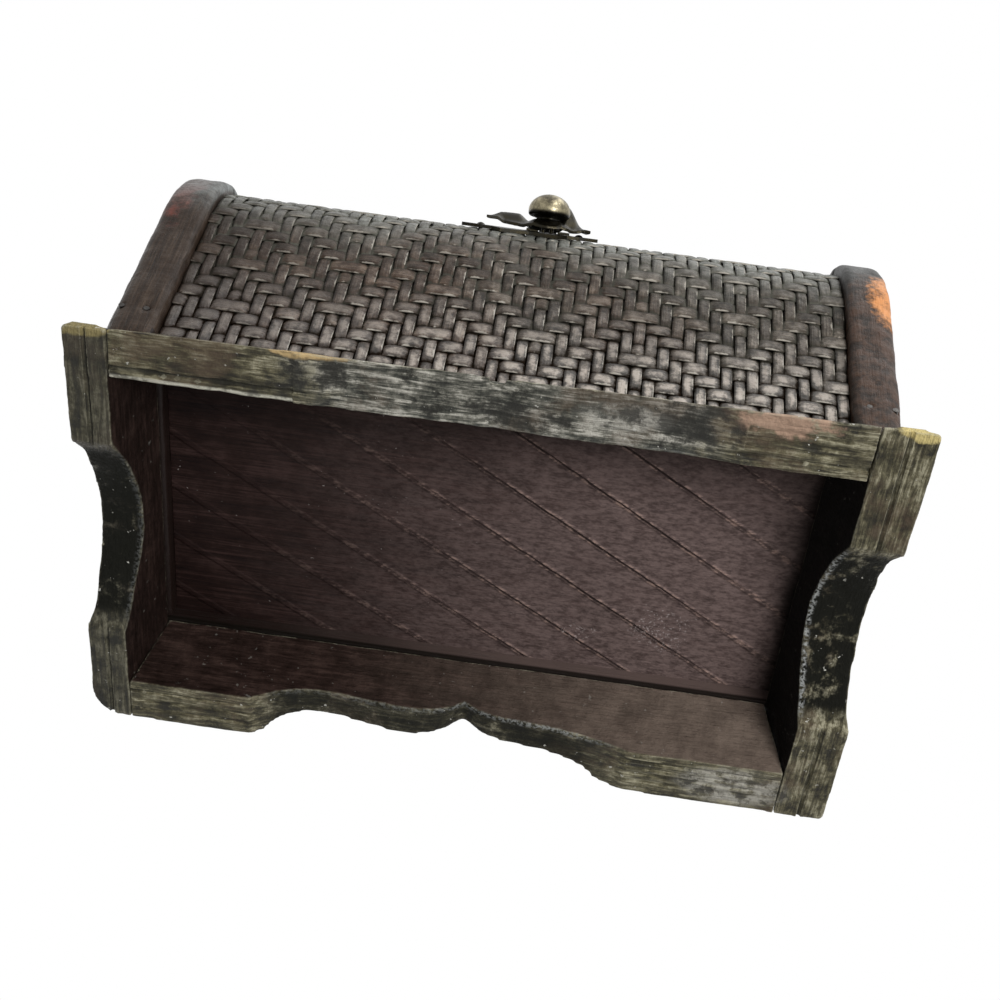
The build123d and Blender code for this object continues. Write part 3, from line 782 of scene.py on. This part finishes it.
def cut_across(shape, place, facing, clear=False):
    """Cuts every face at a plane, and may clear away what lies on the side that the plane faces."""
    return bmesh.ops.bisect_plane(shape, geom=shape.verts[:] + shape.edges[:] + shape.faces[:], dist=1e-7,
                                  plane_co=place, plane_no=facing, clear_outer=clear)["geom_cut"]


def worn_surface(even, depth, lump, seed):
    """Presses shallow, uneven wear into a skin."""
    even.normal_update()
    shift = Vector((seed * 3.1, seed * 1.7, seed * 0.9))
    for vertex in even.verts:
        coarse = noise.noise(vertex.co / lump + shift)
        fine = noise.noise(vertex.co / (lump * 0.22) + shift)
        vertex.co -= vertex.normal * depth * max(0.0, 0.35 + 0.8 * coarse + 0.25 * fine)


def distance_inside(point):
    """How far a point lies inside the sloping inner faces of the skirt."""
    lean = inner_lean * point.z / skirt_height
    return min(point.x - mouth_left - lean, mouth_right - lean - point.x, mouth_y - lean - abs(point.y))


def reeding(point, lines):
    """Depth of the grooves that run along a foot, counted from the mouth outwards."""
    deep = 0.0
    for line in lines:
        gap = (abs(point.y) - mouth_y - line) / reed_width
        deep = max(deep, math.exp(-gap * gap))
    return reed_depth * deep * (0.55 + 0.9 * noise.noise(Vector((point.x * 90.0, line * 900.0, 3.0))))


def raised_bead(out):
    """The foot lies back a little behind a round bead along its inner edge."""
    if out > bead_line:
        return foot_set_back
    return bead_fall * min(1.0, ((out - bead_line / 2) / (bead_line / 2)) ** 2)


def from_joints(point):
    """How far a point lies from the planes where the boards meet."""
    return min(abs(point.x - left_joint), abs(point.x - right_joint))


def from_creases(point):
    """How far a point lies from the groove behind the bead, or from the boards' joints."""
    return min(abs(abs(point.y) - mouth_y - bead_line), from_joints(point))


def work_feet(even, feet):
    """Raises the beads and cuts the reeds on the undersides of the feet."""
    even.normal_update()
    for vertex in even.verts:
        point = vertex.co
        if point.z > 1.2 * mm or vertex.normal.z > -0.3:
            continue
        for start, end, lines, beaded in feet:
            if start < point.x < end:
                point.z += reeding(point, lines) if lines else 0.0
                point.z += raised_bead(abs(point.y) - mouth_y) if beaded else 0.0


def mask_skirt(even, soot_level, feet):
    """Marks the stained inside, the sooty arches, the beads with their grooves, and the brim of the mouth."""
    layers = {name: even.verts.layers.float.new(name) for name in ("inside", "soot", "bead", "brim")}
    even.normal_update()
    for vertex in even.verts:
        point = vertex.co
        depth = distance_inside(point)
        down = eased_number(-vertex.normal.z, 0.45, 0.75)
        up = rise(point.z, 0.8, 3.6)
        beaded = any(start < point.x < end and raised for start, end, lines, raised in feet)
        ridge = math.exp(-((depth + bead_crest) / ridge_width) ** 2)
        groove = math.exp(-((depth + bead_line) / groove_width) ** 2)
        vertex[layers["inside"]] = rise(depth, -1.3, -0.8) * (1.0 - down)
        vertex[layers["soot"]] = soot_level * down * up
        vertex[layers["bead"]] = down * (1.0 - up) * (ridge - groove) if beaded else 0.0
        vertex[layers["brim"]] = down * up * rise(depth, -1.9, -0.9)


def skirt_board(node, label, seed, material, soot_level, wear, feet=()):
    """A worn copy of a board; feet hold a start, an end, reeds, and whether the bead is raised."""
    even = skinned(node, skirt_grain)
    smoothed(even, [v for v in even.verts if v.co.z > foot_face or from_creases(v.co) > crease_reach], 4)
    work_feet(even, feet)
    worn_surface(even, wear, skirt_lump, seed)
    for vertex in even.verts:
        if from_joints(vertex.co) < 0.5 * mm:
            vertex.co.x += math.copysign(joint_overlap, vertex.co.x) * (1 if feet else -1)
    outer_edge = [v for v in even.verts if foot_face < v.co.z < 9.0 * mm
                  and distance_inside(v.co) < -6.0 * mm and from_joints(v.co) > 3.0 * mm]
    smoothed(even, outer_edge, 40)
    for vertex in even.verts:
        vertex.co.z = max(vertex.co.z, 0.0)
    mask_skirt(even, soot_level, feet)
    add_piece(even, label, node, "body", material)


front_left_foot = (mouth_left, -49.0 * mm, (), True)
front_right_foot = (60.5 * mm, mouth_right, (6.2 * mm, 8.8 * mm, 11.5 * mm), False)
back_left_foot = (mouth_left, -60.0 * mm, (7.0 * mm, 10.5 * mm), False)
back_right_foot = (47.3 * mm, mouth_right, (6.2 * mm, 8.6 * mm, 11.4 * mm), False)
skirt_board("skirt_front", "front_skirt_board", 1, skirt_long_wood, 0.15, 0.40 * mm,
            (front_left_foot, front_right_foot))
skirt_board("skirt_back", "back_skirt_board", 2, skirt_long_wood, 0.8, 0.22 * mm,
            (back_left_foot, back_right_foot))
skirt_board("skirt_left", "left_skirt_board", 3, skirt_side_wood, 1.0, 0.30 * mm)
skirt_board("skirt_right", "right_skirt_board", 4, skirt_side_wood, 1.0, 0.30 * mm)


def end_piece(node, label, body, seed):
    """A worn copy of an end board or a lid end, with rounder rims."""
    even = skinned(node, end_grain)
    smoothed(even, even.verts, 3)
    worn_surface(even, end_wear, end_lump, seed)
    add_piece(even, label, node, body, end_wood)


def scored_floor():
    """The floor board; its scored lines grow shallower towards both ends, above all the left."""
    board = merged("floor_panel")
    for step in range(-8, 9):
        cut_across(board, (step * 10 * mm, 0, 0), (1, 0, 0))
    for vertex in board.verts:
        sunk = vertex.co.z - floor_underside
        if 0 < sunk < 1.2 * mm:
            share = 0.06 + 0.94 * rise(vertex.co.x, -45, 20)
            share *= 1.0 - 0.75 * rise(vertex.co.x, 45, 80)
            vertex.co.z = floor_underside + sunk * share
    add_piece(board, "scored_floor_board", "floor_panel", "body", recess_wood, smooth=False)


scored_floor()
end_piece("end_board_left", "left_end_board", "body", 5)
end_piece("end_board_right", "right_end_board", "body", 6)
end_piece("lid_end_left", "left_lid_end", "lid", 7)
end_piece("lid_end_right", "right_lid_end", "lid", 8)


# Clasp
def hasp_bend(right, down):
    """How far the hasp is pressed outwards, at a place right of its pin and down the plate."""
    boss = boss_height * fall(math.hypot(right, down - knob_down), 4.6, 7.0) * fall(down, 16.5, 19.2)
    wing = wing_lift * rise(-right, 5.0, 9.0) * fall(down, 10.0, 14.5)
    fold = fold_height * rise(right, 2.4, 4.8) * fall(right, 4.8, 10.4)
    fold *= rise(down, 3.0, 7.0) * fall(down, 10.0, 15.0)
    droop = wing_droop * rise(right, 9.0, 12.6)
    beside = rise(abs(right), 2.0, 5.0) * fall(-right, 12.5, 15.0) * fall(right, 8.5, 12.0)
    curl = front_curl * max(beside * rise(down, 11.5, 16.5), rise(down, 16.8, 19.2))
    return boss + wing + fold - droop - curl


def bent_hasp():
    """The hasp, bent as in the photo; the end of its right wing is pressed together."""
    even = skinned("clasp_hasp", hasp_grain)
    smoothed(even, even.verts, 2)
    for vertex in even.verts:
        from_axis = vertex.co - hasp_axis
        if from_axis.x > pressed_from:
            vertex.co.x -= pressed_share * (from_axis.x - pressed_from)
        vertex.co += hasp_out * hasp_bend(vertex.co.x - hasp_axis.x, from_axis.dot(hasp_down))
    add_piece(even, "bent_hasp", "clasp_hasp", "hasp", clasp_brass)


def domed_knob():
    """The ball knob, fuller and flatter than a true ball."""
    even = skinned("clasp_knob", knob_grain)
    smoothed(even, even.verts, 3)
    for vertex in even.verts:
        out = (vertex.co - hasp_axis).dot(hasp_out)
        if out > knob_base:
            middle = hasp_axis + hasp_down * knob_down + hasp_out * out
            fuller = middle + (vertex.co - middle) * knob_swell
            vertex.co = fuller + hasp_out * (out - knob_base) * (knob_rise - 1.0)
    add_piece(even, "domed_knob", "clasp_knob", "hasp", knob_brass)


bent_hasp()
domed_knob()


# Woven cover
quarter_turn = cover_middle * math.pi / 2
straight = spring_height - skirt_height


def level_on_top(column, row):
    """A herringbone twill: two over, two under, and the diagonals turn back every few columns."""
    turned = (column - first_turn) % (2 * turn_every)
    return (min(turned, 2 * turn_every - turned) + row) % 4 < 2


def wave_at(place, fixed, is_level):
    """Height of a strip's middle line, from -1 to 1, at a place counted in crossings along it."""
    first = math.floor(place - 0.5)
    turn = (place - first - 1.0) * math.pi / 2
    before, after = (level_on_top(*((k, fixed) if is_level else (fixed, k))) == is_level
                     for k in (first, first + 1))
    height = math.cos(turn) if before == after else -math.sin(turn)
    flattened = math.tanh(strip_flatness * height) / math.tanh(strip_flatness)
    return flattened if before else -flattened


def round_the_chest(flat):
    """From the unrolled cover to its place: X stays, Y goes up, over and down, Z is outwards."""
    radius = cover_middle + flat.z
    if flat.y < straight:
        return Vector((flat.x, -radius, skirt_height + flat.y))
    turn = (flat.y - straight) / cover_middle
    if turn < math.pi:
        return Vector((flat.x, -radius * math.cos(turn), spring_height + radius * math.sin(turn)))
    return Vector((flat.x, radius, spring_height - (flat.y - straight - 2 * quarter_turn)))


def lay_strip(cover, layers, is_level, index, start, end, steps):
    """Lays one strip on the unrolled cover, bent over and under those that it crosses."""
    pitch = level_pitch if is_level else upright_pitch
    width = (level_width if is_level else upright_width) * chance.uniform(0.93, 1.04)
    middle = (index + 0.5) * pitch + (0.0 if is_level else -half_length)
    strip_tone = chance.random()
    made = bmesh.ops.create_grid(cover, x_segments=steps, y_segments=4, size=0.5)
    lie = chance.uniform(-0.05, 0.05) * mm - (strip_tilt if is_level else 0.0)
    for vertex in made["verts"]:
        along = start + (vertex.co.x + 0.5) * (end - start)
        across = vertex.co.y
        drift = strip_drift * noise.noise(Vector((along * 45.0, index * 3.7, is_level * 9.1)))
        lump = noise.noise(Vector((along * 260.0, index * 5.3 + across, is_level * 4.3)))
        counted = (along + half_length) / upright_pitch if is_level else along / level_pitch
        wave = wave_at(counted, index, is_level)
        height = strip_wave * wave + 0.5 * strip_thickness + strip_lump * lump
        height += lie * 2 * across - strip_crown * abs(2 * across) ** 4
        beside = middle + across * width + drift
        vertex.co = (along, beside, height) if is_level else (beside, along, height)
        vertex[layers["fibre"]] = Vector((along + index * 0.31, across * width, 0.0))
        vertex[layers["tone"]] = strip_tone
        vertex[layers["proud"]] = wave * (1.0 - 2.2 * across * across)
        # The edge attribute places painted highlights: the lower edge of level strips and the right edge of
        # upright ones, where they lie on top.
        rim_side = -2 * across if is_level else 2 * across
        vertex[layers["edge"]] = max(0.0, rim_side) * max(0.0, wave)


def trimmed(cover, height, keep_below):
    """Cuts the strips at the lid's seam and closes their ends."""
    cut = cut_across(cover, (0, 0, height), (0, 0, 1 if keep_below else -1), clear=True)
    bmesh.ops.holes_fill(cover, edges=[e for e in cut if isinstance(e, bmesh.types.BMEdge)], sides=0)


def weave_piece(label, node, body, first, last, seam, keep_below):
    """Weaves the cover from first to last along the unrolled sheet, and trims it at the seam's height."""
    cover = bmesh.new()
    layers = {"fibre": cover.verts.layers.float_vector.new("fibre")}
    for name in ("tone", "proud", "edge"):
        layers[name] = cover.verts.layers.float.new(name)
    rows = range(math.ceil(first / level_pitch - 0.5), math.ceil(last / level_pitch - 0.5))
    steps = math.ceil((last - first) / level_pitch * 4)
    for column in range(upright_count):
        lay_strip(cover, layers, False, column, first, last, steps)
    for row in rows:
        lay_strip(cover, layers, True, row, -half_length + cover_gap, half_length - cover_gap,
                  upright_count * 4)
    bmesh.ops.recalc_face_normals(cover, faces=cover.faces)
    for face in cover.faces:
        if face.normal.z < 0:
            face.normal_flip()
    bmesh.ops.solidify(cover, geom=cover.faces[:], thickness=strip_thickness)
    for vertex in cover.verts:
        vertex.co = round_the_chest(vertex.co)
    trimmed(cover, seam, keep_below)
    bmesh.ops.recalc_face_normals(cover, faces=cover.faces)
    add_piece(cover, label, node, body, strip_wood)


seam_turn = math.asin((seam_height - spring_height) / dome_radius)
seam_reach = straight + cover_middle * (seam_turn + 0.04)
lid_reach = straight + cover_middle * (seam_turn - 0.01)
whole = 2 * straight + 2 * quarter_turn
below_seam = seam_height - 0.02 * mm
above_seam = lid_bottom + 0.02 * mm
weave_piece("front_woven_cover", "front_weave", "body", cover_gap, seam_reach, below_seam, True)
weave_piece("lid_woven_cover", "lid_weave", "lid", lid_reach, whole - lid_reach, above_seam, False)
weave_piece("back_woven_cover", "back_weave", "body", whole - seam_reach, whole - cover_gap, below_seam, True)


# Floor, light and camera
def see_through_from_below(name, colour):
    """A floor that shows only from above, so that the underside can be seen and lit."""
    material = bpy.data.materials.new(name)
    material.use_nodes = True
    tree = material.node_tree
    shader = tree.nodes["Principled BSDF"]
    shader.inputs["Base Color"].default_value = (*colour, 1.0)
    shader.inputs["Roughness"].default_value = 0.9
    shader.inputs["Specular IOR Level"].default_value = 0.1
    clear = put(tree, "BsdfTransparent")
    switch = put(tree, "MixShader")
    feed(tree, switch.inputs[0], put(tree, "NewGeometry").outputs["Backfacing"])
    feed(tree, switch.inputs[1], shader.outputs[0])
    feed(tree, switch.inputs[2], clear.outputs[0])
    feed(tree, tree.nodes["Material Output"].inputs["Surface"], switch.outputs[0])
    return material


floor_mesh = bpy.data.meshes.new("studio floor")
floor_bm = bmesh.new()
bmesh.ops.create_grid(floor_bm, x_segments=1, y_segments=1, size=6.0)
floor_bm.to_mesh(floor_mesh)
floor_bm.free()
floor_mesh.materials.append(see_through_from_below("pale floor", (0.82, 0.82, 0.81)))
floor = add_object("studio_floor", floor_mesh)
floor.location.z = -0.0002
floor.visible_shadow = False
floor.visible_diffuse = False
floor.visible_glossy = False

world = bpy.data.worlds.new("studio")
bpy.context.scene.world = world
world.use_nodes = True
sky = world.node_tree
plain = sky.nodes["Background"]
plain.inputs["Color"].default_value = (1.0, 1.0, 1.0, 1.0)
plain.inputs["Strength"].default_value = 0.26
white = put(sky, "Background", Color=(1.0, 1.0, 1.0, 1.0), Strength=1.0)
rays = put(sky, "LightPath").outputs
seen = larger(sky, rays["Is Camera Ray"], rays["Is Glossy Ray"])
seen = larger(sky, seen, rays["Is Transmission Ray"])
chosen = put(sky, "MixShader")
feed(sky, chosen.inputs[0], seen)
feed(sky, chosen.inputs[1], plain.outputs[0])
feed(sky, chosen.inputs[2], white.outputs[0])
feed(sky, sky.nodes["World Output"].inputs["Surface"], chosen.outputs[0])


def add_lamp(name, place, power, size):
    lamp = bpy.data.lights.new(name, "AREA")
    lamp.energy = power
    lamp.size = size
    holder = add_object(name, lamp)
    holder.location = place
    holder.rotation_euler = (lamp_aim - Vector(place)).to_track_quat("-Z", "Y").to_euler()


lamp_aim = Vector((0.0, 0.0, 0.06))
add_lamp("key_below", (0.52, -0.78, -0.66), 14.0, 0.40)
add_lamp("key_front", (0.42, -1.00, 0.44), 5.0, 0.35)
add_lamp("key_above", (0.45, -0.45, 1.10), 4.0, 0.7)
add_lamp("fill_back", (-0.70, 0.80, 0.70), 5.0, 0.8)

camera_data = bpy.data.cameras.new("camera")
camera_data.sensor_width = 36.0
camera_data.lens = 64.91
camera_data.clip_start = 0.01
camera = add_object("camera", camera_data)
camera_right = Vector((0.99021, -0.08565, 0.11028))
camera_up = Vector((-0.13681, -0.75326, 0.64334))
camera_back = Vector((0.02797, -0.65213, -0.75759))
camera_place = Matrix.Translation((0.016327, -0.326240, -0.341414))
camera_turn = Matrix((camera_right, camera_up, camera_back)).transposed().to_4x4()
camera.matrix_world = camera_place @ camera_turn
bpy.context.scene.camera = camera
bpy.context.scene.view_settings.view_transform = "Standard"
